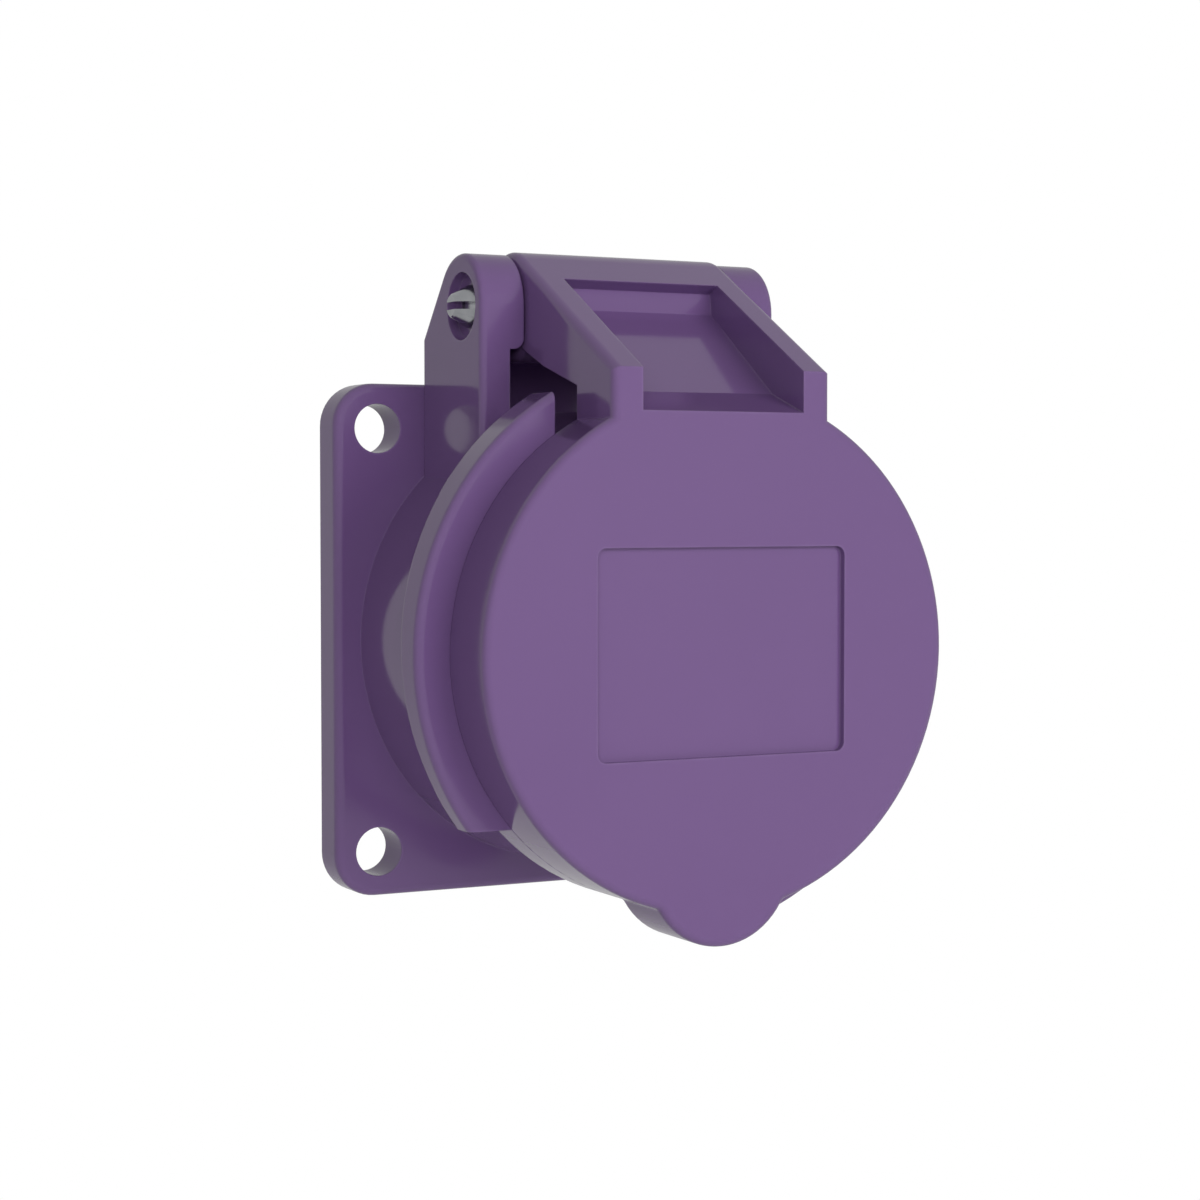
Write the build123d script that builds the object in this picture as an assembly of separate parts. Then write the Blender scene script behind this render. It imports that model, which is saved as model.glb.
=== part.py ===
from build123d import *
import math
import os

# Industrial panel socket for extra-low voltage, with a sprung hinged lid.
# Millimetres. The origin is the centre of the four mounting holes, on the back face
# of the flange. +X is to the right, +Y goes into the panel, +Z is up, and the lid
# faces -Y.

# Driving dimensions: the flange and its gasket
hole_pitch = 50.0
hole_r = 2.9
hole_edge = 5.3
flange_thick = 5.0
flange_corner_r = 5.0
flange_edge_r = 1.0
gasket_thick = 1.5
gasket_inset = 1.0
gasket_hole_play = 0.8

# Driving dimensions: the round lid and its lug
lid_r = 28.8
lid_depth = 8.78
lid_gap = 0.1
lid_wall = 2.5
lid_roof = 2.6
lid_edge_r = 0.9
lug_r = 8.9
lug_z = -23.5
lug_blend_r = 1.0
label_w = 31.0
label_h = 22.9
label_depth = 0.75
label_corner_r = 1.0
hollow_top_z = 24.0
seal_thick = 1.6
seal_play = 0.3
seal_overlap = 1.6

# Driving dimensions: the rim behind the lid and the two bayonet ramps on it
rim_reach = 29.2
rim_thick = 4.8
ramp_step = 3.9
ramp_root = 0.5
ramp_edge_r = 0.9
ramp_upper_x = 12.7
ramp_lower_z = -19.2
ramp_thick = 4.41
ramp_slope = 0.0529
ramp_thick_angle = 77.5
notch_gap = 2.6

# Driving dimensions: the drum, the collar inside it and the keyway
drum_r = 27.2
drum_wall = 2.5
skirt_reach = 6.3
bore_r = 19.0
collar_wall = 2.2
lip_gap = 0.28
lip_edge_r = 0.5
keyway_rise = 0.3
keyway_r = 3.9
keyway_wall = 2.4
keyway_floor = 1.0
keyway_blend_r = 1.0
shoulder_thick = 2.5
boss_r = 3.4

# Driving dimensions: the hinge pin and the ears
pin_r = 2.45
pin_reach = 11.2
pin_z = 38.75
pin_proud = 1.3
pin_tip_r = 1.4
pin_cone = 1.9
pin_slot = 0.85
pin_slot_depth = 1.0
pin_hole_play = 0.02
barrel_play = 0.06
ear_outer_x = 19.24
ear_web = 3.6
ear_knuckle = 5.35
ear_knuckle_drop = 5.05
ear_foot_r = 1.3
ear_front = 5.45
ear_top_r = 6.1
ear_back_drop = 3.15
ear_root_z = 8.0
ear_edge_r = 0.7
pin_recess_play = 1.45
pin_recess_depth = 1.2
bridge_thick = 2.2
bridge_gap = 0.05

# Driving dimensions: the lid's arms, barrel and sloped floor
arm_gap = 0.3
arm_thick = 3.53
arm_top_step = 2.0
arm_toe_step = 0.3
arm_edge_r = 1.0
arm_heel = (4.4, -4.95)
arm_knee = (9.8, -7.15)
barrel_wall = 1.6
bar_edge_back = 7.9
bar_lip = 1.75
floor_back = 5.6
floor_top = 0.1
floor_slope = 35.3
floor_knee = 2.1
floor_front_z = 26.2
floor_thick = 2.0

# Driving dimensions: the return spring
wire_r = 0.65
coil_play = 0.5
coil_whole_turns = 5
coil_pitch = 1.5
nose_angle = 193.0
spring_pocket_play = 0.55
spring_tail = 10.8
spring_nose = 4.5
nose_play = 0.25

# Driving dimensions: the contact carrier, its plate and the terminal holder
plug_ring = 4.8
carrier_reach = 27.0
carrier_edge = 0.8
plate_thick = 4.0
plate_play = 0.15
holder_margin = 10.0
holder_depth = 12.5
holder_edge = 0.8

# Driving dimensions: the contacts
contact_count = 3
contact_ring_r = 8.0
pin_bore_r = 2.55
sleeve_wall = 0.95
sleeve_setback = 1.0
sleeve_bore_depth = 26.0
seat_length = 3.0
ring_room = 0.8
flange_step = 0.45
contact_flange_half = 1.0
pillar_step = 1.0
wire_hole_r = 1.7
wire_hole_floor = 2.5
slit_w = 0.8
slit_length = 14.0
spring_ring_thick = 0.55
spring_ring_w = 3.0
spring_ring_back = 5.0
spring_ring_gap = 1.2
fit_play = 0.05

# Driving dimensions: the screws and clamp plates
terminal_y = 7.5
terminal_shank_r = 1.7
terminal_head_r = 2.35
terminal_head_h = 1.9
terminal_shank = 4.2
terminal_well_play = 0.35
clamp_thick = 0.35
clamp_w = 1.9
clamp_setback = 1.0
clamp_tab = 1.3
screw_r = 1.45
pilot_play = 0.05
screw_head_h = 1.9
screw_slot = 0.8
screw_slot_depth = 0.9
plate_screw_x = 21.8
plate_screw_length = 12.0
plate_head_r = 2.5
holder_screw_length = 17.0
holder_head_r = 2.7
screw_tip_gap = 1.0

# How near two places must be to count as the same
same_place = 1e-4

# Places along Y worked out from the sizes above
flange_front = -flange_thick
rim_front = flange_front - rim_reach
rim_back = rim_front + rim_thick
lid_back = rim_front - lid_gap
lid_front = lid_back - lid_depth
lid_ceiling = lid_front + lid_roof
seal_back = lid_ceiling + seal_thick
lip_front = seal_back + lip_gap
shoulder_y = flange_front + shoulder_thick
plate_back = shoulder_y + plate_thick
carrier_front = flange_front - carrier_reach
sleeve_front = carrier_front + sleeve_setback
holder_back = plate_back + holder_depth
pillar_back = holder_back - pillar_step
pin_y = flange_front - pin_reach

# Sizes across the axis worked out from the sizes above
flange_side = hole_pitch + 2 * hole_edge
rim_r = lid_r
ramp_r = rim_r + ramp_step
hollow_r = drum_r - drum_wall
keyway_z = -(bore_r - keyway_rise)
carrier_r = bore_r - plug_ring
plate_r = hollow_r - plate_play
sleeve_r = pin_bore_r + sleeve_wall
seat_r = sleeve_r + fit_play
chamber_r = seat_r + ring_room
contact_flange_r = chamber_r + flange_step
holder_r = contact_ring_r + holder_margin
clamp_top = contact_ring_r + math.sqrt(wire_hole_r**2 - (clamp_w / 2) ** 2)

# Sizes about the hinge worked out from the sizes above
coil_r = pin_r + coil_play + wire_r
pocket_r = coil_r + wire_r + spring_pocket_play
barrel_r = pocket_r + barrel_wall
coil_turns = coil_whole_turns + (270 - nose_angle) / 360
coil_length = coil_turns * coil_pitch
pocket_half = coil_length / 2 + spring_pocket_play + wire_r
wire_floor_z = pin_z - coil_r - wire_r
arm_outer_x = ear_outer_x - ear_knuckle - arm_gap
arm_inner_x = arm_outer_x - arm_thick
notch_half = arm_outer_x + notch_gap


def slab(outline, back, front):
    """Extrude an outline drawn in X and Z forwards, from y = back to y = front."""
    base = Plane(origin=(0, back, 0), x_dir=(1, 0, 0), z_dir=(0, -1, 0))
    return extrude(base * outline, amount=back - front)


def side_slab(outline, left, right):
    """Extrude an outline drawn in Y and Z to the right, from x = left to x = right."""
    base = Plane(origin=(left, 0, 0), x_dir=(0, 1, 0), z_dir=(1, 0, 0))
    return extrude(base * outline, amount=right - left)


def disc(x, z, radius, back, front):
    """A round bar along Y."""
    return slab(Pos(x, z) * Circle(radius), back, front)


def cross_bar(radius, left, right):
    """A round bar along the hinge axis."""
    return side_slab(Pos(pin_y, pin_z) * Circle(radius), left, right)


def box_between(low, high):
    """A block between two opposite corners."""
    size = [abs(b - a) for a, b in zip(low, high)]
    centre = [(a + b) / 2 for a, b in zip(low, high)]
    return Pos(*centre) * Box(*size)


def edges_on_y(solid, y):
    """The edges of a solid that lie wholly in the plane at y."""
    return solid.edges().filter_by(
        lambda edge: abs(edge.bounding_box().min.Y - y) < same_place
        and abs(edge.bounding_box().max.Y - y) < same_place
    )


def edges_on_x(solid, x):
    """The edges of a solid that lie wholly in the plane at x."""
    return solid.edges().filter_by(
        lambda edge: abs(edge.bounding_box().min.X - x) < same_place
        and abs(edge.bounding_box().max.X - x) < same_place
    )


def hole_places():
    """The four mounting holes, as (x, z)."""
    half = hole_pitch / 2
    return [(sx * half, sz * half) for sx in (-1, 1) for sz in (-1, 1)]


def contact_angles():
    """The directions of the contacts round the carrier, with the first at the top."""
    return [90 + index * 360 / contact_count for index in range(contact_count)]


def contact_place(angle):
    """The axis of the contact in the direction given, as (x, z)."""
    turn = math.radians(angle)
    return contact_ring_r * math.cos(turn), contact_ring_r * math.sin(turn)


def turned(solid, angle):
    """Turn a piece drawn for the top contact to the direction given, about the Y axis."""
    return Rot(0, 90 - angle, 0) * solid


def flange_plate():
    """The square mounting plate, with its rounded front edge and four holes."""
    plate = slab(RectangleRounded(flange_side, flange_side, flange_corner_r), 0, flange_front)
    plate = fillet(edges_on_y(plate, flange_front), flange_edge_r)
    for x, z in hole_places():
        plate -= disc(x, z, hole_r, 0, flange_front)
    return plate


def ear_outline():
    """One hinge ear from the side: an upright web with a round top and a sloped back."""
    top = Pos(pin_y - ear_front + ear_top_r, pin_z) * Circle(ear_top_r)
    web_front = pin_y - ear_front
    web_top = pin_z - ear_back_drop
    web = Pos((web_front + flange_front) / 2, (ear_root_z + web_top) / 2) * Rectangle(
        flange_front - web_front, web_top - ear_root_z
    )
    return make_hull(top.edges() + web.edges())


def ear(side):
    """A hinge ear: a thin web with a thicker knuckle at the pin and a recess for its end."""
    web = side_slab(ear_outline(), ear_outer_x - ear_web, ear_outer_x)
    web = fillet(edges_on_x(web, ear_outer_x), ear_edge_r)
    knuckle_left = ear_outer_x - ear_knuckle
    knuckle_foot_z = pin_z - ear_knuckle_drop
    knuckle = side_slab(ear_outline(), knuckle_left, ear_outer_x - ear_edge_r)
    knuckle -= box_between((0, rim_back, 0), (ear_outer_x, 0, knuckle_foot_z))
    foot = [
        edge
        for edge in edges_on_x(knuckle, knuckle_left)
        if edge.bounding_box().max.Z < knuckle_foot_z + same_place
    ]
    knuckle = fillet(foot, ear_foot_r)
    solid = web + knuckle
    solid -= cross_bar(pin_r + pin_hole_play, 0, ear_outer_x)
    solid -= cross_bar(pin_r + pin_recess_play, ear_outer_x - pin_recess_depth, ear_outer_x)
    return solid if side > 0 else mirror(solid, about=Plane.YZ)


def rim():
    """The round rim behind the lid, cut down to the drum between the lid's arms."""
    outline = Circle(rim_r) - Pos(0, rim_r / 2) * Rectangle(2 * notch_half, rim_r)
    return slab(outline + Circle(drum_r), rim_back, rim_front)


def bayonet_ramp():
    """The left ramp: part of a ring whose back face leans, so that it grows thicker upwards."""
    ring = Circle(ramp_r) - Circle(drum_r - ramp_root)
    left = (-ramp_r - ramp_upper_x) / 2
    middle = (ramp_r + ramp_lower_z) / 2
    window = Pos(left, middle) * Rectangle(ramp_r - ramp_upper_x, ramp_r - ramp_lower_z)
    ramp = slab(ring & window, rim_front + 2 * ramp_thick, rim_front)
    edges = edges_on_y(ramp, rim_front).filter_by(GeomType.CIRCLE)
    ramp = fillet([edge for edge in edges if abs(edge.radius - ramp_r) < same_place], ramp_edge_r)
    turn = math.radians(ramp_thick_angle)
    lean = (-ramp_slope * math.cos(turn), 1, -ramp_slope * math.sin(turn))
    back = Plane(origin=(0, rim_front + ramp_thick, 0), z_dir=lean)
    return split(ramp, bisect_by=back, keep=Keep.BOTTOM)


def notched_ramps():
    """Both ramps, half a turn apart, with the left one cut off at the notch for the lid's arms."""
    ramp = bayonet_ramp()
    notch = box_between(
        (-notch_half, rim_front, 0), (notch_half, rim_front + 2 * ramp_thick, ramp_r)
    )
    return (ramp - notch) + Rot(0, 180, 0) * ramp


def collar():
    """The outside of the collar: round, with a lobe over the keyway at the bottom."""
    round_part = Circle(bore_r + collar_wall)
    outline = round_part + Pos(0, keyway_z) * Circle(keyway_r + keyway_wall)
    body = slab(outline, shoulder_y, lip_front)
    corners = [edge for edge in body.edges().filter_by(Axis.Y) if edge.center().Z < keyway_z]
    body = fillet(corners, keyway_blend_r)
    return fillet(edges_on_y(body, lip_front), lip_edge_r)


def bosses():
    """The two bosses between collar and drum that the plate's screws bite into."""
    left = disc(-plate_screw_x, 0, boss_r, shoulder_y, rim_back)
    return left + disc(plate_screw_x, 0, boss_r, shoulder_y, rim_back)


def socket_housing():
    """One moulding: flange, hollow drum with a collar inside, rim, ramps and hinge ears."""
    half_gap = ear_outer_x - ear_web
    body = flange_plate() + disc(0, 0, drum_r, skirt_reach, rim_back) + ear(-1) + ear(1)
    body += box_between(
        (-half_gap, flange_front - bridge_thick, hollow_r),
        (half_gap, flange_front, wire_floor_z - bridge_gap),
    )
    body += rim()
    body -= disc(0, 0, hollow_r, skirt_reach, rim_back)
    body += notched_ramps()
    body += collar() + bosses()
    body -= disc(0, 0, bore_r, shoulder_y, lip_front)
    body -= disc(0, keyway_z, keyway_r, flange_front - keyway_floor, lip_front)
    for side in (-1, 1):
        pilot_end = plate_back - plate_screw_length - screw_tip_gap
        body -= disc(side * plate_screw_x, 0, screw_r + pilot_play, shoulder_y, pilot_end)
    return body


def flange_gasket():
    """The flat gasket between flange and panel, with wider holes than the flange's own."""
    side = flange_side - 2 * gasket_inset
    sheet = slab(RectangleRounded(side, side, flange_corner_r - gasket_inset), gasket_thick, 0)
    sheet -= disc(0, 0, drum_r + seal_play, gasket_thick, 0)
    for x, z in hole_places():
        sheet -= disc(x, z, hole_r + gasket_hole_play, gasket_thick, 0)
    return sheet


def slope_line():
    """The sloped top edge of the lid's arms: where it leaves the front and where it meets the barrel."""
    front = (lid_front, lid_r + arm_top_step)
    to_pin = (pin_y - front[0], pin_z - front[1])
    distance = math.hypot(*to_pin)
    slope = math.atan2(to_pin[1], to_pin[0]) + math.asin(barrel_r / distance)
    along = math.sqrt(distance**2 - barrel_r**2)
    touch = (front[0] + along * math.cos(slope), front[1] + along * math.sin(slope))
    return front, touch


def arm_outline():
    """One arm of the lid from the side, with its barrel round the pin."""
    front, touch = slope_line()
    plate = make_face(
        Polyline(
            (lid_front, lug_r),
            front,
            touch,
            (pin_y, pin_z),
            (pin_y - arm_heel[0], pin_z + arm_heel[1]),
            (pin_y - arm_knee[0], pin_z + arm_knee[1]),
            (lid_back, lid_r + arm_toe_step),
            (lid_back, lug_r),
            close=True,
        )
    )
    return plate + Pos(pin_y, pin_z) * Circle(barrel_r)


def floor_line():
    """The top of the sloped floor between the arms: its back end, its knee and its front end."""
    back = (pin_y - floor_back, pin_z + floor_top)
    knee_y = lid_back - floor_knee
    knee_z = back[1] - (back[0] - knee_y) * math.tan(math.radians(floor_slope))
    return back, (knee_y, knee_z), (lid_front, floor_front_z)


def web_outline():
    """The web between the arms: the cross bar at the top and the sloped floor below it."""
    front, touch = slope_line()
    back, knee, foot = floor_line()
    slope = math.atan2(touch[1] - front[1], touch[0] - front[0])
    bar_y = pin_y - bar_edge_back
    bar_z = front[1] + (bar_y - front[0]) * math.tan(slope)
    fall = math.tan(math.radians(floor_slope))
    under = floor_thick / math.cos(math.radians(floor_slope))
    web = make_face(
        Polyline(
            touch,
            (bar_y, bar_z),
            (back[0], pin_z + bar_lip),
            back,
            knee,
            foot,
            (lid_front, hollow_top_z),
            (lid_back, hollow_top_z),
            (lid_back, back[1] - under - (back[0] - lid_back) * fall),
            (back[0], back[1] - under),
            (pin_y, pin_z),
            close=True,
        )
    )
    return web + Pos(pin_y, pin_z) * Circle(barrel_r)


def space_over_floor():
    """The space above the sloped floor, which the round cap must leave free between the arms."""
    back, knee, foot = floor_line()
    top = (lid_front, pin_z)
    return side_slab(make_face(Polyline(back, knee, foot, top, close=True)), -arm_inner_x, arm_inner_x)


def lug_outline_slab(inset, back, front):
    """The lid's round outline with its lug, made smaller by the inset, with blended corners."""
    body = disc(0, 0, lid_r - inset, back, front) + disc(0, lug_z, lug_r - inset, back, front)
    corners = [edge for edge in body.edges().filter_by(Axis.Y) if edge.center().Z < lug_z]
    return fillet(corners, lug_blend_r + inset)


def lid_arm(side):
    """One arm of the lid, with its outer front and top edges rounded."""
    low = min(side * arm_inner_x, side * arm_outer_x)
    arm = side_slab(arm_outline(), low, low + arm_thick)
    front, touch = slope_line()
    outer = [
        edge
        for edge in edges_on_x(arm, side * arm_outer_x)
        if edge.center().Y < (front[0] + touch[0]) / 2 + same_place
        and edge.center().Z > lug_r
        and edge.bounding_box().min.Y < lid_front + same_place
    ]
    return fillet(outer, arm_edge_r)


def lid():
    """One moulding: the round cap with its lug, two arms, the sloped web and the hinge barrel."""
    cap = lug_outline_slab(0, lid_back, lid_front)
    cap = fillet(edges_on_y(cap, lid_front), lid_edge_r)
    cap -= space_over_floor()
    hollow = lug_outline_slab(lid_wall, lid_back, lid_ceiling)
    hollow -= box_between((-lid_r, lid_front, hollow_top_z), (lid_r, rim_back, lid_r))
    web = side_slab(web_outline(), -arm_inner_x, arm_inner_x)
    body = cap + lid_arm(-1) + lid_arm(1) + web
    body -= hollow
    body -= cross_bar(pin_r + barrel_play, -arm_outer_x, arm_outer_x)
    body -= cross_bar(pocket_r, -pocket_half, pocket_half)
    body -= box_between(
        (-pocket_half, pin_y, pin_z - barrel_r), (pocket_half, pin_y + barrel_r, pin_z + barrel_r)
    )
    path = coil_path()
    body -= straight_wire(path @ 1, path % 1, wire_r + nose_play, spring_nose + nose_play)
    label = slab(
        RectangleRounded(label_w, label_h, label_corner_r), lid_front + label_depth, lid_front
    )
    return body - label


def lid_gasket():
    """The flat seal under the lid's roof, which closes on the collar's lip."""
    sheet = lug_outline_slab(lid_wall + seal_play, seal_back, lid_ceiling)
    sheet -= disc(0, 0, bore_r - seal_overlap, seal_back, lid_ceiling)
    return sheet - box_between(
        (-lid_r, lid_front, hollow_top_z - seal_play), (lid_r, rim_back, lid_r)
    )


def hinge_pin():
    """The steel pin through both ears, with coned ends and a slot across each."""
    half = ear_outer_x + pin_proud
    bar = cross_bar(pin_r, pin_cone - half, half - pin_cone)
    cone = Cone(pin_r, pin_tip_r, pin_cone, align=(Align.CENTER, Align.CENTER, Align.MIN))
    for side in (-1, 1):
        bar += Pos(side * (half - pin_cone), pin_y, pin_z) * Rot(0, side * 90, 0) * cone
        bar -= box_between(
            (side * (half - pin_slot_depth), pin_y - pin_r, pin_z - pin_slot / 2),
            (side * (half + pin_slot_depth), pin_y + pin_r, pin_z + pin_slot / 2),
        )
    return bar


def coil_path():
    """The spring's coil: a left-hand helix about the pin that starts at the bottom, on the left."""
    start = Location((-coil_length / 2, pin_y, pin_z), (0, 90, 0))
    return start * Helix(coil_pitch, coil_length, coil_r, lefthand=True)


def straight_wire(place, heading, radius, length):
    """A straight round bar from a point, in the direction given."""
    return extrude(Plane(origin=place, z_dir=heading) * Circle(radius), amount=length)


def hinge_spring():
    """The torsion spring: a coil round the pin, a tail on the bridge and a nose in the lid's bar."""
    path = coil_path()
    section = Plane(origin=path @ 0, z_dir=path % 0) * Circle(wire_r)
    coil = sweep(section, path=path, is_frenet=True)
    tail = straight_wire(path @ 0, (path % 0) * -1, wire_r, spring_tail)
    nose = straight_wire(path @ 1, path % 1, wire_r, spring_nose)
    return coil + tail + nose


def contact_carrier():
    """The insulating column inside the collar, with a stepped hole for each contact."""
    body = disc(0, 0, carrier_r, shoulder_y, carrier_front)
    body = chamfer(edges_on_y(body, carrier_front), carrier_edge)
    for angle in contact_angles():
        x, z = contact_place(angle)
        body -= disc(x, z, seat_r, shoulder_y, carrier_front)
        body -= disc(x, z, chamber_r, shoulder_y, carrier_front + seat_length)
    pilot_end = plate_back - holder_screw_length
    return body - disc(0, 0, screw_r + pilot_play, shoulder_y, pilot_end)


def carrier_plate():
    """The round plate behind the column, screwed to the collar's rear end and the bosses."""
    body = disc(0, 0, plate_r, plate_back, shoulder_y)
    for angle in contact_angles():
        x, z = contact_place(angle)
        body -= disc(x, z, chamber_r, plate_back, shoulder_y)
        body -= disc(x, z, contact_flange_r + fit_play, plate_back, plate_back - contact_flange_half)
    for x in (-plate_screw_x, 0, plate_screw_x):
        body -= disc(x, 0, screw_r + plate_play, plate_back, shoulder_y)
    return body


def terminal_holder():
    """The rear insulator that clamps the contacts to the plate, open behind for the wires."""
    body = disc(0, 0, holder_r, holder_back, plate_back)
    body = chamfer(edges_on_y(body, holder_back), holder_edge)
    for angle in contact_angles():
        x, z = contact_place(angle)
        body -= disc(x, z, seat_r, holder_back, plate_back)
        body -= disc(x, z, contact_flange_r + fit_play, plate_back + contact_flange_half, plate_back)
        well = Pos(0, plate_back + terminal_y, contact_ring_r) * Cylinder(
            terminal_head_r + terminal_well_play,
            holder_r,
            align=(Align.CENTER, Align.CENTER, Align.MIN),
        )
        body -= turned(well, angle)
    body -= disc(0, 0, screw_r + plate_play, holder_back, plate_back)
    return body - disc(0, 0, holder_head_r + plate_play, holder_back, holder_back - screw_head_h)


def contact_sleeve(angle):
    """A turned brass contact: a slit tube in front, a flange, and a pillar terminal behind."""
    z = contact_ring_r
    body = disc(0, z, sleeve_r, pillar_back, sleeve_front)
    body += disc(
        0, z, contact_flange_r, plate_back + contact_flange_half, plate_back - contact_flange_half
    )
    body -= disc(0, z, pin_bore_r, sleeve_front + sleeve_bore_depth, sleeve_front)
    body -= disc(0, z, wire_hole_r, pillar_back, plate_back + wire_hole_floor)
    slit_back = sleeve_front + slit_length
    body -= box_between(
        (-sleeve_r, sleeve_front, z - slit_w / 2), (sleeve_r, slit_back, z + slit_w / 2)
    )
    thread = Pos(0, plate_back + terminal_y, z) * Cylinder(
        terminal_shank_r + fit_play, 2 * sleeve_r, align=(Align.CENTER, Align.CENTER, Align.MIN)
    )
    return turned(body - thread, angle)


def contact_ring(angle):
    """The open steel ring that keeps a slit sleeve closed on its pin."""
    front = sleeve_front + spring_ring_back
    back = front + spring_ring_w
    outer_r = seat_r + spring_ring_thick
    ring = disc(0, contact_ring_r, outer_r, back, front)
    ring -= disc(0, contact_ring_r, seat_r, back, front)
    ring -= box_between(
        (-spring_ring_gap / 2, front, contact_ring_r),
        (spring_ring_gap / 2, back, contact_ring_r + outer_r),
    )
    return turned(ring, angle)


def clamp_plate(angle):
    """The bent strip between a terminal screw and the wire."""
    top = clamp_top - fit_play
    front = plate_back + wire_hole_floor + clamp_setback
    strip = box_between(
        (-clamp_w / 2, front, top - clamp_thick), (clamp_w / 2, pillar_back + clamp_thick, top)
    )
    tab = box_between(
        (-clamp_w / 2, pillar_back, top - clamp_thick),
        (clamp_w / 2, pillar_back + clamp_thick, top + clamp_tab),
    )
    return turned(strip + tab, angle)


def slotted_screw(shank_r, shank, head_r, head_h):
    """A cheese-head screw along Z, with its head's top at z = 0 and its slot along X."""
    head = Pos(0, 0, -head_h / 2) * Cylinder(head_r, head_h)
    body = head + Pos(0, 0, -head_h - shank / 2) * Cylinder(shank_r, shank)
    return body - Pos(0, 0, -screw_slot_depth / 2) * Box(2 * head_r, screw_slot, screw_slot_depth)


def terminal_screws():
    """One screw for each pillar terminal, driven in from the side of the holder."""
    head_top = clamp_top + terminal_shank + terminal_head_h
    screw = slotted_screw(terminal_shank_r, terminal_shank, terminal_head_r, terminal_head_h)
    placed = Pos(0, plate_back + terminal_y, head_top) * screw
    return Compound(children=[turned(placed, angle) for angle in contact_angles()])


def rear_screw(x, back, shank_r, shank, head_r):
    """A screw driven forwards from behind, with its head's face at y = back."""
    screw = slotted_screw(shank_r, shank, head_r, screw_head_h)
    return Pos(x, back, 0) * Rot(-90, 0, 0) * screw


def carrier_screws():
    """The two screws that hold the plate to the housing's bosses."""
    back = plate_back + screw_head_h
    sides = (-plate_screw_x, plate_screw_x)
    return Compound(
        children=[rear_screw(x, back, screw_r, plate_screw_length, plate_head_r) for x in sides]
    )


def holder_screw():
    """The centre screw that pulls the terminal holder and the carrier onto the plate."""
    shank = holder_depth - screw_head_h + holder_screw_length - screw_tip_gap
    return rear_screw(0, holder_back, screw_r, shank, holder_head_r)


nodes = {
    "socket_housing": socket_housing(),
    "flange_gasket": flange_gasket(),
    "lid": lid(),
    "lid_gasket": lid_gasket(),
    "hinge_pin": hinge_pin(),
    "hinge_spring": hinge_spring(),
    "contact_carrier": contact_carrier(),
    "carrier_plate": carrier_plate(),
    "terminal_holder": terminal_holder(),
    "terminal_screws": terminal_screws(),
    "carrier_screws": carrier_screws(),
    "holder_screw": holder_screw(),
}
for number, angle in enumerate(contact_angles(), start=1):
    nodes[f"contact_sleeve_{number}"] = contact_sleeve(angle)
    nodes[f"contact_ring_{number}"] = contact_ring(angle)
    nodes[f"clamp_plate_{number}"] = clamp_plate(angle)

os.makedirs("parts", exist_ok=True)
for name, shape in nodes.items():
    export_step(shape, f"parts/{name}.step")
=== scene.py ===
import math

import bmesh
import bpy
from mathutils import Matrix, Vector


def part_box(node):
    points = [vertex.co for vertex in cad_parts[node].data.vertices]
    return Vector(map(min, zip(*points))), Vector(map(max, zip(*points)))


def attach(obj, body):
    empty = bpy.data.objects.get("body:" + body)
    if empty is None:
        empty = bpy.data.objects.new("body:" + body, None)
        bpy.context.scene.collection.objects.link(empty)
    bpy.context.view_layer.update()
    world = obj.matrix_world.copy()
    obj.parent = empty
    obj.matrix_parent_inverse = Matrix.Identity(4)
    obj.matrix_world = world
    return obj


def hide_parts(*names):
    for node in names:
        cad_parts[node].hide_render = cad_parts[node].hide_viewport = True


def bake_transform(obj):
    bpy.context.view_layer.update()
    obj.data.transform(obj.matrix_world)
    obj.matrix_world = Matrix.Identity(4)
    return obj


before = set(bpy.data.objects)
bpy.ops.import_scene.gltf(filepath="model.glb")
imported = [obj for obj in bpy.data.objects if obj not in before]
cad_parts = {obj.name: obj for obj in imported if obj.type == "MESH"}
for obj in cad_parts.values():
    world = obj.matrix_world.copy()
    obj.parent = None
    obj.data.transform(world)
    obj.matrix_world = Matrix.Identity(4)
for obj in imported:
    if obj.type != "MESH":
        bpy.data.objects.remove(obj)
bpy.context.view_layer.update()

# Room: a pale floor well below the socket, which hangs in the air as it would on its panel.
# The floor and the world look white to the camera, and pale in reflections, as in a light tent.
floor_z = -0.25
floor_size = 12.0
floor_colour = (0.86, 0.86, 0.87, 1.0)
white = (1.0, 1.0, 1.0, 1.0)
seen_strength = 1.0
mirrored_strength = 0.57
ambient_strength = 0.16


def mirrored_rays(nodes, links):
    """Masks of the camera's own rays, and of the rays that come by a reflection or through glass."""
    rays = nodes.new("ShaderNodeLightPath")
    mask = nodes.new("ShaderNodeMath")
    mask.operation = "MAXIMUM"
    links.new(rays.outputs["Is Glossy Ray"], mask.inputs[0])
    links.new(rays.outputs["Is Transmission Ray"], mask.inputs[1])
    return rays.outputs["Is Camera Ray"], mask.outputs["Value"]


def blended_level(nodes, links, mask, low, high):
    """A strength that goes from low to high with a mask. Either may be a number or a node's output."""
    level = nodes.new("ShaderNodeMix")
    level.data_type = "FLOAT"
    links.new(mask, level.inputs["Factor"])
    for socket_name, value in (("A", low), ("B", high)):
        if isinstance(value, float):
            level.inputs[socket_name].default_value = value
        else:
            links.new(value, level.inputs[socket_name])
    return level.outputs["Result"]


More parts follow.
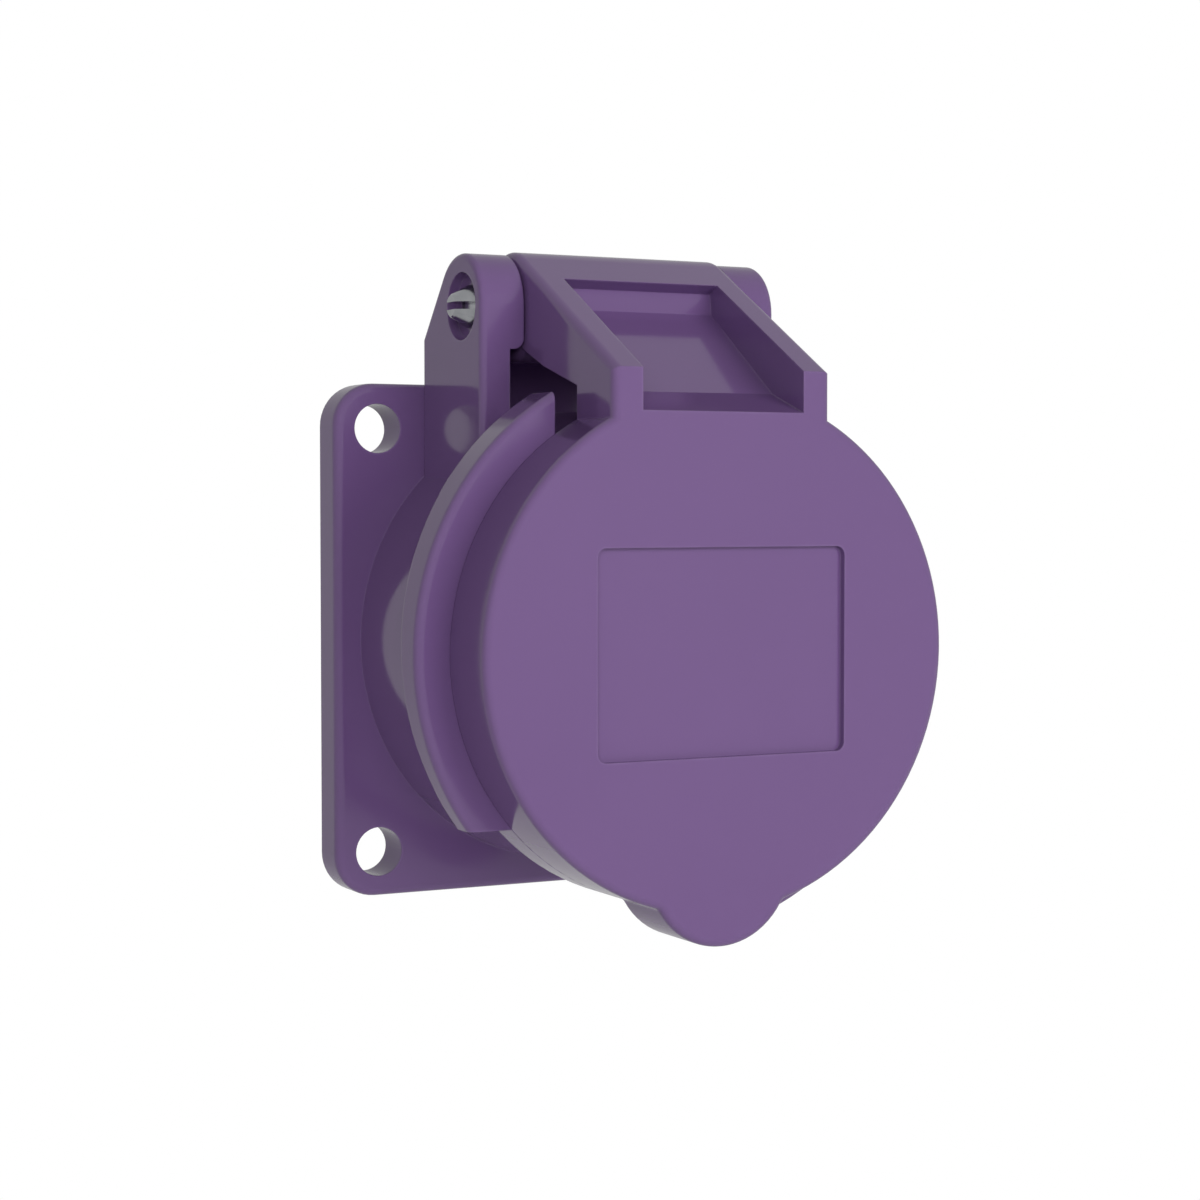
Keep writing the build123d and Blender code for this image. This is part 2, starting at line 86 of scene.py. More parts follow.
world = bpy.data.worlds.new("white_room")
bpy.context.scene.world = world
world.use_nodes = True
world_nodes = world.node_tree.nodes
world_links = world.node_tree.links
world_nodes.clear()
world_out = world_nodes.new("ShaderNodeOutputWorld")
sky = world_nodes.new("ShaderNodeBackground")
sky.inputs["Color"].default_value = white
sky_seen, sky_mirrored = mirrored_rays(world_nodes, world_links)
sky_unseen = blended_level(world_nodes, world_links, sky_mirrored, ambient_strength, mirrored_strength)
sky_level = blended_level(world_nodes, world_links, sky_seen, sky_unseen, seen_strength)
world_links.new(sky_level, sky.inputs["Strength"])
world_links.new(sky.outputs["Background"], world_out.inputs["Surface"])

floor_mesh = bpy.data.meshes.new("floor")
half_floor = floor_size / 2
floor_mesh.from_pydata(
    [(x * half_floor, y * half_floor, floor_z) for x, y in ((-1, -1), (1, -1), (1, 1), (-1, 1))],
    [],
    [(0, 1, 2, 3)],
)
floor = bpy.data.objects.new("floor", floor_mesh)
bpy.context.scene.collection.objects.link(floor)
floor_material = bpy.data.materials.new("pale_floor")
floor_material.use_nodes = True
floor_nodes = floor_material.node_tree.nodes
floor_links = floor_material.node_tree.links
floor_nodes.clear()
floor_out = floor_nodes.new("ShaderNodeOutputMaterial")
floor_paint = floor_nodes.new("ShaderNodeBsdfDiffuse")
floor_paint.inputs["Color"].default_value = floor_colour
floor_glow = floor_nodes.new("ShaderNodeEmission")
floor_glow.inputs["Color"].default_value = white
floor_mix = floor_nodes.new("ShaderNodeMixShader")
floor_seen, floor_mirrored = mirrored_rays(floor_nodes, floor_links)
floor_level = blended_level(floor_nodes, floor_links, floor_seen, mirrored_strength, seen_strength)
floor_lit = floor_nodes.new("ShaderNodeMath")
floor_lit.operation = "MAXIMUM"
floor_links.new(floor_seen, floor_lit.inputs[0])
floor_links.new(floor_mirrored, floor_lit.inputs[1])
floor_links.new(floor_level, floor_glow.inputs["Strength"])
floor_links.new(floor_lit.outputs["Value"], floor_mix.inputs["Fac"])
floor_links.new(floor_paint.outputs["BSDF"], floor_mix.inputs[1])
floor_links.new(floor_glow.outputs["Emission"], floor_mix.inputs[2])
floor_links.new(floor_mix.outputs["Shader"], floor_out.inputs["Surface"])
floor_mesh.materials.append(floor_material)

# Lamps: two large soft lamps in front, one to the right and one on the camera's side, and one behind,
# so that the back isn't left dark. None of them shows in reflections.
lamps = {
    "front_lamp": ((0.30, -0.95, 0.22), 0.55, 4.9),
    "camera_side_lamp": ((-0.50, -0.90, 0.28), 0.55, 4.3),
    "back_lamp": ((0.50, 0.95, 0.15), 0.60, 5.0),
}
lamp_target = Vector((0.0, -0.02, 0.0))
for lamp_name, (lamp_place, lamp_side, lamp_power) in lamps.items():
    lamp_data = bpy.data.lights.new(lamp_name, "AREA")
    lamp_data.shape = "SQUARE"
    lamp_data.size = lamp_side
    lamp_data.energy = lamp_power
    lamp = bpy.data.objects.new(lamp_name, lamp_data)
    bpy.context.scene.collection.objects.link(lamp)
    lamp.location = lamp_place
    lamp.rotation_euler = (lamp_target - Vector(lamp_place)).to_track_quat("-Z", "Y").to_euler()
    lamp.visible_glossy = False
    lamp.visible_camera = False

# Camera: the photo's own angle, from the left of the front and nearly level with the socket.
# It was fitted to the flange's corners and holes, the lid's circle, the ramps and the pin.
camera_place = Vector((-0.13634, -0.27631, 0.01664))
camera_azimuth = math.radians(-27.43)
camera_elevation = math.radians(2.32)
camera_lens = 74.37
camera_sensor = 36.0
look = Vector(
    (
        -math.sin(camera_azimuth) * math.cos(camera_elevation),
        math.cos(camera_azimuth) * math.cos(camera_elevation),
        -math.sin(camera_elevation),
    )
)
camera_data = bpy.data.cameras.new("camera")
camera_data.lens = camera_lens
camera_data.sensor_width = camera_sensor
camera = bpy.data.objects.new("camera", camera_data)
bpy.context.scene.collection.objects.link(camera)
camera.location = camera_place
camera.rotation_euler = look.to_track_quat("-Z", "Y").to_euler()
bpy.context.scene.camera = camera
bpy.context.scene.view_settings.view_transform = "Standard"

# Housing: the violet moulding with the flange, the drum, the rim with its bayonet ramps and the
# hinge ears. It is injection moulded polyamide with a polished skin, whose edges have gone a little
# paler where they rub.
shell_violet = (0.170, 0.094, 0.246, 1.0)
shell_violet_deep = (0.152, 0.083, 0.223, 1.0)
shell_violet_rubbed = (0.205, 0.120, 0.285, 1.0)
shell_ior = 1.5
shell_rough = (0.08, 0.17)
shell_edge_radius = 0.00022
shell_rubbed_width = 0.0005
shell_rubbed_reach = 0.002
shell_rubbed_turns = (0.999, 0.86)
shell_rubbed_openness = (0.82, 0.97)
shell_rubbed_patches = (0.35, 0.65)
shell_rubbed_least = 0.35
shell_rubbed_patch_scale = 260.0
shell_rubbed_patch_detail = 5.0
shell_cloud_scale = 38.0
shell_cloud_detail = 4.0
shell_cloud_range = (0.35, 0.68)
shell_ripple_scale = 900.0
shell_ripple_detail = 2.0
shell_ripple_height = 0.000004
edge_samples = 6


def add_sockets(group, direction, sockets):
    """Name the inputs or outputs of a node group, each with its kind and, if any, its value."""
    for socket_name, kind, *value in sockets:
        socket = group.interface.new_socket(socket_name, in_out=direction, socket_type=kind)
        if value:
            socket.default_value = value[0]


def colour_blend(nodes, links, mask, low, high):
    """A colour that goes from one socket's colour to another's with a mask."""
    blend = nodes.new("ShaderNodeMix")
    blend.data_type = "RGBA"
    links.new(mask, blend.inputs["Factor"])
    first, second = [socket for socket in blend.inputs if socket.type == "RGBA"]
    links.new(low, first)
    links.new(high, second)
    return [socket for socket in blend.outputs if socket.type == "RGBA"][0]


def spread(nodes, links, value, from_low, from_high, to_low, to_high):
    """A value stretched from one range to another. The ends of the new range may be sockets."""
    stretch = nodes.new("ShaderNodeMapRange")
    links.new(value, stretch.inputs["Value"])
    stretch.inputs["From Min"].default_value = from_low
    stretch.inputs["From Max"].default_value = from_high
    for socket_name, end in (("To Min", to_low), ("To Max", to_high)):
        if isinstance(end, float):
            stretch.inputs[socket_name].default_value = end
        else:
            links.new(end, stretch.inputs[socket_name])
    return stretch.outputs["Result"]


# A mask of the outer edges: it is 1 where the surface turns sharply, broken up by fine noise,
# and 0 in inner corners, where nothing rubs.
rubbed_edges = bpy.data.node_groups.new("rubbed_edges", "ShaderNodeTree")
add_sockets(rubbed_edges, "INPUT", [("Width", "NodeSocketFloat", shell_rubbed_width)])
add_sockets(rubbed_edges, "OUTPUT", [("Mask", "NodeSocketFloat")])
edge_nodes = rubbed_edges.nodes
edge_links = rubbed_edges.links
edge_in = edge_nodes.new("NodeGroupInput")
edge_out = edge_nodes.new("NodeGroupOutput")
edge_round = edge_nodes.new("ShaderNodeBevel")
edge_round.samples = edge_samples
edge_flat = edge_nodes.new("ShaderNodeNewGeometry")
edge_turn = edge_nodes.new("ShaderNodeVectorMath")
edge_turn.operation = "DOT_PRODUCT"
edge_place = edge_nodes.new("ShaderNodeTexCoord")
edge_noise = edge_nodes.new("ShaderNodeTexNoise")
edge_noise.inputs["Scale"].default_value = shell_rubbed_patch_scale
edge_noise.inputs["Detail"].default_value = shell_rubbed_patch_detail
edge_open = edge_nodes.new("ShaderNodeAmbientOcclusion")
edge_open.samples = edge_samples
edge_open.inputs["Distance"].default_value = shell_rubbed_reach
edge_product = edge_nodes.new("ShaderNodeMath")
edge_product.operation = "MULTIPLY"
edge_outer = edge_nodes.new("ShaderNodeMath")
edge_outer.operation = "MULTIPLY"
edge_links.new(edge_in.outputs["Width"], edge_round.inputs["Radius"])
edge_links.new(edge_round.outputs["Normal"], edge_turn.inputs[0])
edge_links.new(edge_flat.outputs["Normal"], edge_turn.inputs[1])
edge_links.new(edge_place.outputs["Object"], edge_noise.inputs["Vector"])
edge_sharp = spread(edge_nodes, edge_links, edge_turn.outputs["Value"], *shell_rubbed_turns, 0.0, 1.0)
edge_patchy = spread(
    edge_nodes, edge_links, edge_noise.outputs["Fac"], *shell_rubbed_patches, shell_rubbed_least, 1.0
)
edge_convex = spread(edge_nodes, edge_links, edge_open.outputs["AO"], *shell_rubbed_openness, 0.0, 1.0)
edge_links.new(edge_sharp, edge_product.inputs[0])
edge_links.new(edge_patchy, edge_product.inputs[1])
edge_links.new(edge_product.outputs["Value"], edge_outer.inputs[0])
edge_links.new(edge_convex, edge_outer.inputs[1])
edge_links.new(edge_outer.outputs["Value"], edge_out.inputs["Mask"])

# The skin of a moulding: soft clouds of tint and gloss, and the faint ripple of a polished mould.
moulded_skin = bpy.data.node_groups.new("moulded_skin", "ShaderNodeTree")
add_sockets(
    moulded_skin,
    "INPUT",
    [
        ("Colour", "NodeSocketColor", shell_violet),
        ("Deep Colour", "NodeSocketColor", shell_violet_deep),
        ("Rubbed Colour", "NodeSocketColor", shell_violet_rubbed),
        ("Cloud Scale", "NodeSocketFloat", shell_cloud_scale),
        ("Ripple Scale", "NodeSocketFloat", shell_ripple_scale),
        ("Rough Low", "NodeSocketFloat", shell_rough[0]),
        ("Rough High", "NodeSocketFloat", shell_rough[1]),
    ],
)
add_sockets(
    moulded_skin,
    "OUTPUT",
    [("Colour", "NodeSocketColor"), ("Roughness", "NodeSocketFloat"), ("Height", "NodeSocketFloat")],
)
skin_nodes = moulded_skin.nodes
skin_links = moulded_skin.links
skin_in = skin_nodes.new("NodeGroupInput")
skin_out = skin_nodes.new("NodeGroupOutput")
skin_place = skin_nodes.new("ShaderNodeTexCoord")
skin_cloud = skin_nodes.new("ShaderNodeTexNoise")
skin_cloud.inputs["Detail"].default_value = shell_cloud_detail
skin_ripple = skin_nodes.new("ShaderNodeTexNoise")
skin_ripple.inputs["Detail"].default_value = shell_ripple_detail
skin_edges = skin_nodes.new("ShaderNodeGroup")
skin_edges.node_tree = rubbed_edges
skin_edges.inputs["Width"].default_value = shell_rubbed_width
for texture, scale_name in ((skin_cloud, "Cloud Scale"), (skin_ripple, "Ripple Scale")):
    skin_links.new(skin_place.outputs["Object"], texture.inputs["Vector"])
    skin_links.new(skin_in.outputs[scale_name], texture.inputs["Scale"])
skin_tint = colour_blend(
    skin_nodes,
    skin_links,
    skin_cloud.outputs["Fac"],
    skin_in.outputs["Colour"],
    skin_in.outputs["Deep Colour"],
)
skin_colour = colour_blend(
    skin_nodes, skin_links, skin_edges.outputs["Mask"], skin_tint, skin_in.outputs["Rubbed Colour"]
)
skin_gloss = spread(
    skin_nodes,
    skin_links,
    skin_cloud.outputs["Fac"],
    *shell_cloud_range,
    skin_in.outputs["Rough Low"],
    skin_in.outputs["Rough High"],
)
skin_links.new(skin_colour, skin_out.inputs["Colour"])
skin_links.new(skin_gloss, skin_out.inputs["Roughness"])
skin_links.new(skin_ripple.outputs["Fac"], skin_out.inputs["Height"])


def moulded_material(name, colours, rough, ripple_scale, ripple_height, edge_radius):
    """A moulded plastic or rubber: a tinted skin with a fine ripple and slightly broken edges."""
    material = bpy.data.materials.new(name)
    material.use_nodes = True
    nodes = material.node_tree.nodes
    links = material.node_tree.links
    surface = nodes["Principled BSDF"]
    skin = nodes.new("ShaderNodeGroup")
    skin.node_tree = moulded_skin
    for socket_name, colour in zip(("Colour", "Deep Colour", "Rubbed Colour"), colours):
        skin.inputs[socket_name].default_value = colour
    skin.inputs["Cloud Scale"].default_value = shell_cloud_scale
    skin.inputs["Ripple Scale"].default_value = ripple_scale
    skin.inputs["Rough Low"].default_value = rough[0]
    skin.inputs["Rough High"].default_value = rough[1]
    soft_edge = nodes.new("ShaderNodeBevel")
    soft_edge.samples = edge_samples
    soft_edge.inputs["Radius"].default_value = edge_radius
    ripple = nodes.new("ShaderNodeBump")
    ripple.inputs["Distance"].default_value = ripple_height
    links.new(skin.outputs["Colour"], surface.inputs["Base Color"])
    links.new(skin.outputs["Roughness"], surface.inputs["Roughness"])
    links.new(skin.outputs["Height"], ripple.inputs["Height"])
    links.new(soft_edge.outputs["Normal"], ripple.inputs["Normal"])
    links.new(ripple.outputs["Normal"], surface.inputs["Normal"])
    surface.inputs["IOR"].default_value = shell_ior
    return material


def dress(node_names, material):
    """Give CAD nodes their finish."""
    for node_name in node_names:
        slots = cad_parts[node_name].data.materials
        slots.clear()
        slots.append(material)


violet_moulding = moulded_material(
    "violet_moulding",
    (shell_violet, shell_violet_deep, shell_violet_rubbed),
    shell_rough,
    shell_ripple_scale,
    shell_ripple_height,
    shell_edge_radius,
)
dress(["socket_housing"], violet_moulding)

# Lid: the round cap with its lug, label recess, arms, sloped floor and barrel.
# It is moulded in the same violet polyamide as the housing, in one piece.
dress(["lid"], violet_moulding)

# Seals: the flat gasket behind the flange and the one under the lid's roof.
# Both are punched from soft black rubber, dusty on its cut edges.
rubber_black = (0.022, 0.022, 0.024, 1.0)
rubber_dusty = (0.034, 0.034, 0.036, 1.0)
rubber_rubbed = (0.060, 0.060, 0.062, 1.0)
rubber_rough = (0.55, 0.75)
rubber_grain_scale = 1800.0
rubber_grain_height = 0.00001
rubber_edge_radius = 0.0001
black_rubber = moulded_material(
    "black_rubber",
    (rubber_black, rubber_dusty, rubber_rubbed),
    rubber_rough,
    rubber_grain_scale,
    rubber_grain_height,
    rubber_edge_radius,
)
dress(["flange_gasket", "lid_gasket"], black_rubber)

# Insulators: the contact carrier, the plate behind it and the terminal holder.
# They are moulded in dark grey glass-filled polyamide, which is duller than the shell.
insulator_grey = (0.075, 0.075, 0.080, 1.0)
insulator_deep = (0.060, 0.060, 0.064, 1.0)
insulator_rubbed = (0.110, 0.110, 0.115, 1.0)
insulator_rough = (0.32, 0.48)
insulator_grain_scale = 1300.0
insulator_grain_height = 0.000012
insulator_edge_radius = 0.00015
grey_insulator = moulded_material(
    "grey_insulator",
    (insulator_grey, insulator_deep, insulator_rubbed),
    insulator_rough,
    insulator_grain_scale,
    insulator_grain_height,
    insulator_edge_radius,
)
dress(["contact_carrier", "carrier_plate", "terminal_holder"], grey_insulator)

# Hinge pin: a stainless bar, ground between centres, with turned cones and a slot sawn right through
# each cone. The fine lines of the lathe run round it, and its gloss is slightly uneven. It stands for
# the CAD pin, which has the same size and a shallower slot.
metal_edge_radius = 0.00008
along_x = (1.0, 0.0, 0.0)
turning_line_scale = 7000.0
turning_line_detail = 3.0
turning_line_height = 0.000003
pin_grey = (0.46, 0.47, 0.49, 1.0)
pin_dull = (0.36, 0.37, 0.39, 1.0)
pin_rough = (0.12, 0.22)
mark_cloud_scale = 350.0
mark_cloud_detail = 4.0
mark_dull_range = (0.35, 0.68)
mark_gloss_range = (0.3, 0.7)
tool_marks = bpy.data.node_groups.new("tool_marks", "ShaderNodeTree")
add_sockets(
    tool_marks,
    "INPUT",
    [
        ("Colour", "NodeSocketColor", pin_grey),
        ("Dull Colour", "NodeSocketColor", pin_dull),
        ("Axis", "NodeSocketVector"),
        ("Line Scale", "NodeSocketFloat", turning_line_scale),
        ("Rough Low", "NodeSocketFloat", pin_rough[0]),
        ("Rough High", "NodeSocketFloat", pin_rough[1]),
    ],
)
add_sockets(
    tool_marks,
    "OUTPUT",
    [("Colour", "NodeSocketColor"), ("Roughness", "NodeSocketFloat"), ("Height", "NodeSocketFloat")],
)
mark_nodes = tool_marks.nodes
mark_links = tool_marks.links
mark_in = mark_nodes.new("NodeGroupInput")
mark_out = mark_nodes.new("NodeGroupOutput")
mark_place = mark_nodes.new("ShaderNodeTexCoord")
mark_along = mark_nodes.new("ShaderNodeVectorMath")
mark_along.operation = "DOT_PRODUCT"
mark_lines = mark_nodes.new("ShaderNodeTexNoise")
mark_lines.noise_dimensions = "1D"
mark_lines.inputs["Detail"].default_value = turning_line_detail
mark_cloud = mark_nodes.new("ShaderNodeTexNoise")
mark_cloud.inputs["Scale"].default_value = mark_cloud_scale
mark_cloud.inputs["Detail"].default_value = mark_cloud_detail
mark_links.new(mark_place.outputs["Object"], mark_along.inputs[0])
mark_links.new(mark_in.outputs["Axis"], mark_along.inputs[1])
mark_links.new(mark_along.outputs["Value"], mark_lines.inputs["W"])
mark_links.new(mark_in.outputs["Line Scale"], mark_lines.inputs["Scale"])
mark_links.new(mark_place.outputs["Object"], mark_cloud.inputs["Vector"])
mark_dull = spread(mark_nodes, mark_links, mark_cloud.outputs["Fac"], *mark_dull_range, 0.0, 1.0)
mark_tint = colour_blend(
    mark_nodes, mark_links, mark_dull, mark_in.outputs["Colour"], mark_in.outputs["Dull Colour"]
)
mark_gloss = spread(
    mark_nodes,
    mark_links,
    mark_cloud.outputs["Fac"],
    *mark_gloss_range,
    mark_in.outputs["Rough Low"],
    mark_in.outputs["Rough High"],
)
mark_links.new(mark_tint, mark_out.inputs["Colour"])
mark_links.new(mark_gloss, mark_out.inputs["Roughness"])
mark_links.new(mark_lines.outputs["Fac"], mark_out.inputs["Height"])


def metal_material(name, colour, dull_colour, rough, axis, line_scale, line_height):
    """A turned or drawn metal: fine lines from the tool, and slightly uneven gloss and tint."""
    material = bpy.data.materials.new(name)
    material.use_nodes = True
    nodes = material.node_tree.nodes
    links = material.node_tree.links
    surface = nodes["Principled BSDF"]
    surface.inputs["Metallic"].default_value = 1.0
    marks = nodes.new("ShaderNodeGroup")
    marks.node_tree = tool_marks
    marks.inputs["Colour"].default_value = colour
    marks.inputs["Dull Colour"].default_value = dull_colour
    marks.inputs["Axis"].default_value = axis
    marks.inputs["Line Scale"].default_value = line_scale
    marks.inputs["Rough Low"].default_value = rough[0]
    marks.inputs["Rough High"].default_value = rough[1]
    edge = nodes.new("ShaderNodeBevel")
    edge.samples = edge_samples
    edge.inputs["Radius"].default_value = metal_edge_radius
    relief = nodes.new("ShaderNodeBump")
    relief.inputs["Distance"].default_value = line_height
    links.new(marks.outputs["Colour"], surface.inputs["Base Color"])
    links.new(marks.outputs["Roughness"], surface.inputs["Roughness"])
    links.new(marks.outputs["Height"], relief.inputs["Height"])
    links.new(edge.outputs["Normal"], relief.inputs["Normal"])
    links.new(relief.outputs["Normal"], surface.inputs["Normal"])
    return material


pin_steel = metal_material(
    "pin_steel",
    pin_grey,
    pin_dull,
    pin_rough,
    along_x,
    turning_line_scale,
    turning_line_height,
)

pin_low, pin_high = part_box("hinge_pin")
pin_centre = (pin_low + pin_high) / 2
pin_radius = (pin_high.z - pin_low.z) / 2
pin_reach = (pin_high.x - pin_low.x) / 2
pin_cone_length = 0.0022
pin_tip_radius = 0.0014
pin_tip_round = 0.0002
pin_slot_width = 0.00085
pin_slot_depth = 0.0027
pin_sides = 72
pin_sharp_angle = math.radians(12)


def turned_bar(name, outline, centre, sides):
    """A bar turned about the X axis through a centre, from an outline of (place along X, radius)."""
    bar = bmesh.new()
    rings = []
    for along, radius in outline:
        ring = []
        for step in range(sides):
            angle = 2 * math.pi * step / sides
            place = (
                centre.x + along,
                centre.y + radius * math.cos(angle),
                centre.z + radius * math.sin(angle),
            )
            ring.append(bar.verts.new(place))
        rings.append(ring)
    for first, second in zip(rings, rings[1:]):
        for step in range(sides):
            after = (step + 1) % sides
            bar.faces.new((first[step], second[step], second[after], first[after]))
    bar.faces.new(rings[0])
    bar.faces.new(reversed(rings[-1]))
    bmesh.ops.recalc_face_normals(bar, faces=bar.faces)
    mesh = bpy.data.meshes.new(name)
    bar.to_mesh(mesh)
    bar.free()
    piece = bpy.data.objects.new(name, mesh)
    bpy.context.scene.collection.objects.link(piece)
    return piece


def block(name, low, high):
    """A box between two corners, to cut with."""
    shape = bmesh.new()
    bmesh.ops.create_cube(shape, size=1.0)
    for corner in shape.verts:
        for axis in range(3):
            corner.co[axis] = low[axis] if corner.co[axis] < 0 else high[axis]
    mesh = bpy.data.meshes.new(name)
    shape.to_mesh(mesh)
    shape.free()
    piece = bpy.data.objects.new(name, mesh)
    bpy.context.scene.collection.objects.link(piece)
    return piece


def cut_with(piece, cutters):
    """Cut blocks out of a piece for good, and delete them."""
    for cutter in cutters:
        cut = piece.modifiers.new(cutter.name, "BOOLEAN")
        cut.operation = "DIFFERENCE"
        cut.solver = "EXACT"
        cut.object = cutter
    shaped = piece.evaluated_get(bpy.context.evaluated_depsgraph_get())
    piece_mesh = bpy.data.meshes.new_from_object(shaped)
    piece.modifiers.clear()
    piece.data = piece_mesh
    for cutter in cutters:
        bpy.data.objects.remove(cutter)


pin_half_outline = [
    (pin_reach - pin_cone_length, pin_radius),
    (pin_reach - pin_tip_round, pin_tip_radius),
    (pin_reach, pin_tip_radius - pin_tip_round),
]
pin_outline = [(-along, radius) for along, radius in reversed(pin_half_outline)] + pin_half_outline
slotted_pin = turned_bar("slotted_pin", pin_outline, pin_centre, pin_sides)
slot_cutters = []
for side in (-1, 1):
    slot_end = side * (pin_reach + pin_slot_depth)
    slot_floor = side * (pin_reach - pin_slot_depth)
    slot_low = (
        pin_centre.x + min(slot_end, slot_floor),
        pin_centre.y - 2 * pin_radius,
        pin_centre.z - pin_slot_width / 2,
    )
    slot_high = (
        pin_centre.x + max(slot_end, slot_floor),
        pin_centre.y + 2 * pin_radius,
        pin_centre.z + pin_slot_width / 2,
    )
    slot_cutters.append(block(f"slot_cutter_{side}", slot_low, slot_high))
cut_with(slotted_pin, slot_cutters)
slotted_pin.data.materials.append(pin_steel)
slotted_pin.data.shade_smooth()
slotted_pin.data.set_sharp_from_angle(angle=pin_sharp_angle)
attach(slotted_pin, "socket")
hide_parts("hinge_pin")

# Return spring: drawn stainless wire wound round the pin, with its tail on the housing's bridge and its
# nose in the lid. The die leaves it evenly satin, with a trace of heat tint.
spring_grey = (0.52, 0.53, 0.54, 1.0)
spring_tinted = (0.47, 0.44, 0.40, 1.0)
spring_rough = (0.20, 0.32)
spring_line_scale = 3000.0
spring_line_height = 0.000002
spring_steel = metal_material(
    "spring_steel",
    spring_grey,
    spring_tinted,
    spring_rough,
    along_x,
    spring_line_scale,
    spring_line_height,
)

spring_wire_radius = 0.00065
spring_wire_sides = 20
spring_play = 0.0005
spring_coil_radius = pin_radius + spring_play + spring_wire_radius
spring_pitch = 0.0015
spring_whole_turns = 5
spring_last_part = math.radians(77)
spring_turns = spring_whole_turns + spring_last_part / (2 * math.pi)
spring_coil_length = spring_turns * spring_pitch
spring_tail_length = 0.0108
spring_nose_length = 0.0045
spring_steps_per_turn = 40
spring_sharp_angle = math.radians(40)


def coil_place(turn):
    """A place on the coil, counted in turns from the tail, which leaves it below the pin on the left."""
    angle = 2 * math.pi * turn
    return Vector(
        (
            pin_centre.x - spring_coil_length / 2 + spring_pitch * turn,
            pin_centre.y - spring_coil_radius * math.sin(angle),
            pin_centre.z - spring_coil_radius * math.cos(angle),
        )
    )


def coil_heading(turn):
    """The wire's direction at a place on the coil."""
    angle = 2 * math.pi * turn
    return Vector(
        (
            spring_pitch / (2 * math.pi),
            -spring_coil_radius * math.cos(angle),
            spring_coil_radius * math.sin(angle),
        )
    ).normalized()


# Draws a wire along a path: the path becomes a curve, and a round section follows it, with closed ends.
drawn_wire = bpy.data.node_groups.new("drawn_wire", "GeometryNodeTree")
add_sockets(
    drawn_wire,
    "INPUT",
    [
        ("Path", "NodeSocketGeometry"),
        ("Wire Radius", "NodeSocketFloat", spring_wire_radius),
        ("Wire Sides", "NodeSocketInt", spring_wire_sides),
        ("Finish", "NodeSocketMaterial"),
    ],
)
add_sockets(drawn_wire, "OUTPUT", [("Wire", "NodeSocketGeometry")])
wire_in = drawn_wire.nodes.new("NodeGroupInput")
wire_out = drawn_wire.nodes.new("NodeGroupOutput")
wire_line = drawn_wire.nodes.new("GeometryNodeMeshToCurve")
wire_section = drawn_wire.nodes.new("GeometryNodeCurvePrimitiveCircle")
wire_sweep = drawn_wire.nodes.new("GeometryNodeCurveToMesh")
wire_sweep.inputs["Fill Caps"].default_value = True
wire_whole = drawn_wire.nodes.new("GeometryNodeRealizeInstances")
wire_finish = drawn_wire.nodes.new("GeometryNodeSetMaterial")
wire_links = drawn_wire.links
wire_links.new(wire_in.outputs["Path"], wire_line.inputs["Mesh"])
wire_links.new(wire_in.outputs["Wire Radius"], wire_section.inputs["Radius"])
wire_links.new(wire_in.outputs["Wire Sides"], wire_section.inputs["Resolution"])
wire_links.new(wire_line.outputs["Curve"], wire_sweep.inputs["Curve"])
wire_links.new(wire_section.outputs["Curve"], wire_sweep.inputs["Profile Curve"])
wire_links.new(wire_sweep.outputs["Mesh"], wire_whole.inputs["Geometry"])
wire_links.new(wire_whole.outputs["Geometry"], wire_finish.inputs["Geometry"])
wire_links.new(wire_in.outputs["Finish"], wire_finish.inputs["Material"])
wire_links.new(wire_finish.outputs["Geometry"], wire_out.inputs["Wire"])

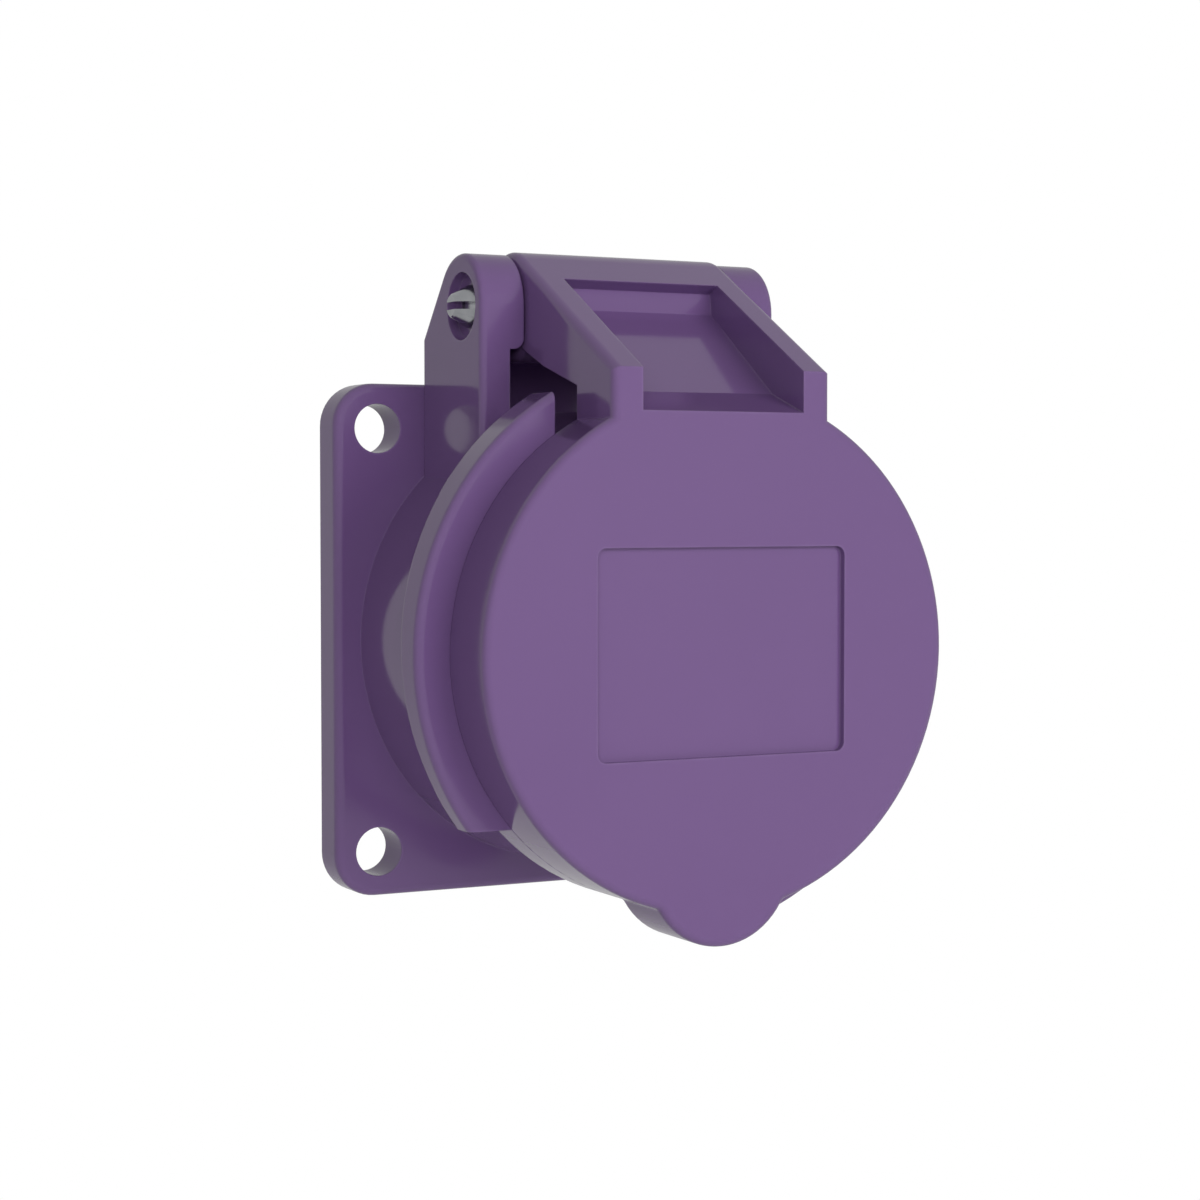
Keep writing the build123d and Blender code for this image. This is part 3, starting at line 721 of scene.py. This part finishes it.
spring_steps = math.ceil(spring_turns * spring_steps_per_turn)
spring_path = [coil_place(spring_turns * step / spring_steps) for step in range(spring_steps + 1)]
spring_path.insert(0, spring_path[0] - coil_heading(0) * spring_tail_length)
spring_path.append(spring_path[-1] + coil_heading(spring_turns) * spring_nose_length)
spring_mesh = bpy.data.meshes.new("winding_spring")
spring_mesh.from_pydata(spring_path, [(place, place + 1) for place in range(len(spring_path) - 1)], [])
winding_spring = bpy.data.objects.new("winding_spring", spring_mesh)
bpy.context.scene.collection.objects.link(winding_spring)
spring_drawing = winding_spring.modifiers.new("drawn_wire", "NODES")
spring_drawing.node_group = drawn_wire
for socket in drawn_wire.interface.items_tree:
    if socket.name == "Finish":
        spring_drawing[socket.identifier] = spring_steel
drawn_spring = winding_spring.evaluated_get(bpy.context.evaluated_depsgraph_get())
spring_wire_mesh = bpy.data.meshes.new_from_object(drawn_spring)
winding_spring.modifiers.clear()
winding_spring.data = spring_wire_mesh
spring_wire_mesh.shade_smooth()
spring_wire_mesh.set_sharp_from_angle(angle=spring_sharp_angle)
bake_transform(winding_spring)
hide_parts("hinge_spring")

# Contact rings: open rings of spring strip that keep the slit sleeves closed on the plug's pins.
# They are rolled from the same stainless steel as the return spring.
dress(["contact_ring_1", "contact_ring_2", "contact_ring_3"], spring_steel)

# Contacts: brass sleeves turned from bar and slit in front, with the pillar terminal behind.
# The lathe's lines run round them, and the brass has dulled in patches.
along_y = (0.0, 1.0, 0.0)
brass_bright = (0.72, 0.52, 0.24, 1.0)
brass_dull = (0.56, 0.38, 0.16, 1.0)
brass_rough = (0.18, 0.36)
brass_line_scale = 6000.0
brass_line_height = 0.000004
contact_brass = metal_material(
    "contact_brass",
    brass_bright,
    brass_dull,
    brass_rough,
    along_y,
    brass_line_scale,
    brass_line_height,
)
dress(["contact_sleeve_1", "contact_sleeve_2", "contact_sleeve_3"], contact_brass)

# Screws and clamp plates: steel with bright zinc plating, faintly blue in places.
# The screws are turned and slotted, and the clamp plates are bent from strip.
zinc_bright = (0.68, 0.69, 0.70, 1.0)
zinc_bluish = (0.58, 0.61, 0.66, 1.0)
zinc_rough = (0.22, 0.40)
zinc_line_scale = 5000.0
zinc_line_height = 0.000004
zinc_steel = metal_material(
    "zinc_plated_steel",
    zinc_bright,
    zinc_bluish,
    zinc_rough,
    along_y,
    zinc_line_scale,
    zinc_line_height,
)
zinc_pieces = ["terminal_screws", "carrier_screws", "holder_screw"]
dress(zinc_pieces + [f"clamp_plate_{number}" for number in (1, 2, 3)], zinc_steel)
